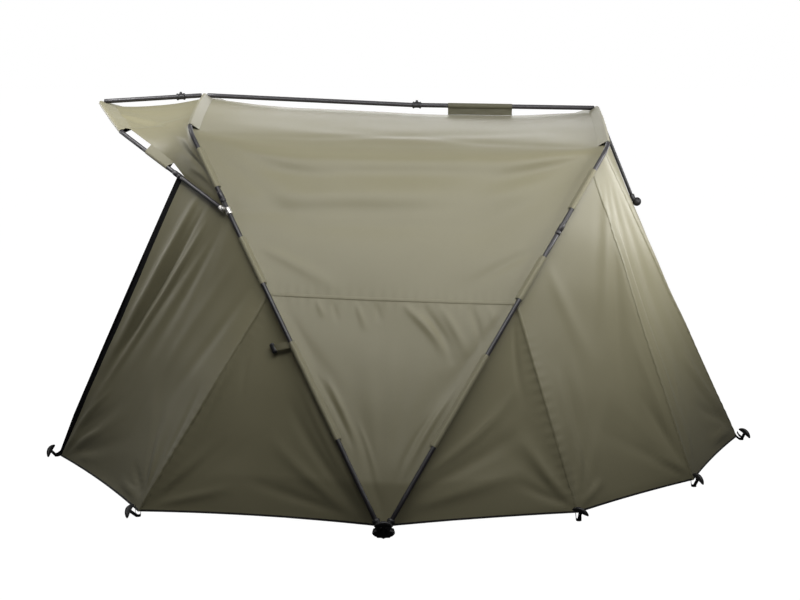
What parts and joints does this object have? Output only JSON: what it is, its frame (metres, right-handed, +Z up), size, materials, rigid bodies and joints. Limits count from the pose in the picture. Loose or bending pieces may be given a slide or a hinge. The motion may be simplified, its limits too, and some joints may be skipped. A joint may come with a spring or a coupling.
{
  "type": "bivvy tent",
  "caption": "Low shelter tent of coated cloth on crossed hoop ribs with a ridge pole, a front hood and an open doorway, pegged to the ground.",
  "frame": {"origin": "middle of the bounding box, level with the ground", "axes": "+Z up, +Y from the tent's left side to its right, and the hood and doorway face -X"},
  "size_m": [2.808, 2.8682, 1.3908],
  "materials": {
    "cloth": "coated woven polyester, olive drab, slight sheen",
    "sleeve": "olive pole sleeve cloth",
    "door_band": "black webbing that binds the doorway",
    "pole": "dark grey wrapped tube, satin",
    "clip": "bright cast clip, brushed",
    "moulding": "black moulded nylon"
  },
  "bodies": {
    "root": {"door_edge_left": "door_band", "door_edge_right": "door_band", "front_arch_sleeve": "sleeve", "front_gusset_left": "cloth", "front_gusset_right": "cloth", "front_panel_left": "cloth", "front_panel_right": "cloth", "front_rib_arch": "pole", "front_rib_leg_left": "pole", "front_rib_leg_right": "pole", "hood_arch_sleeve": "sleeve", "hood_clip_left": "clip", "hood_clip_right": "clip", "hood_panel": "cloth", "hood_rib_arch": "pole", "hood_rib_leg_left": "pole", "hood_rib_leg_right": "pole", "peg_door_left": "moulding", "peg_door_right": "moulding", "peg_front_side_left": "moulding", "peg_front_side_right": "moulding", "peg_rear_corner_left": "moulding", "peg_rear_corner_right": "moulding", "peg_rear_end_left": "moulding", "peg_rear_end_right": "moulding", "peg_rear_side_left": "moulding", "peg_rear_side_right": "moulding", "pivot_block_left": "moulding", "pivot_block_right": "moulding", "rear_arch_sleeve": "sleeve", "rear_corner_panel_left": "cloth", "rear_corner_panel_right": "cloth", "rear_gusset_left": "cloth", "rear_gusset_right": "cloth", "rear_panel_left": "cloth", "rear_panel_right": "cloth", "rear_rib_arch": "pole", "rear_rib_leg_left": "pole", "rear_rib_leg_right": "pole", "rear_strut": "moulding", "rear_wall": "cloth", "ridge_lock_front": "moulding", "ridge_lock_rear": "moulding", "ridge_patch": "cloth", "ridge_pole_front": "pole", "ridge_pole_rear": "pole", "roof_panel": "cloth", "side_panel_lower_left": "cloth", "side_panel_lower_right": "cloth", "side_panel_upper_left": "cloth", "side_panel_upper_right": "cloth", "side_toggle_left": "moulding", "side_toggle_right": "moulding"}
  },
  "joints": []
}
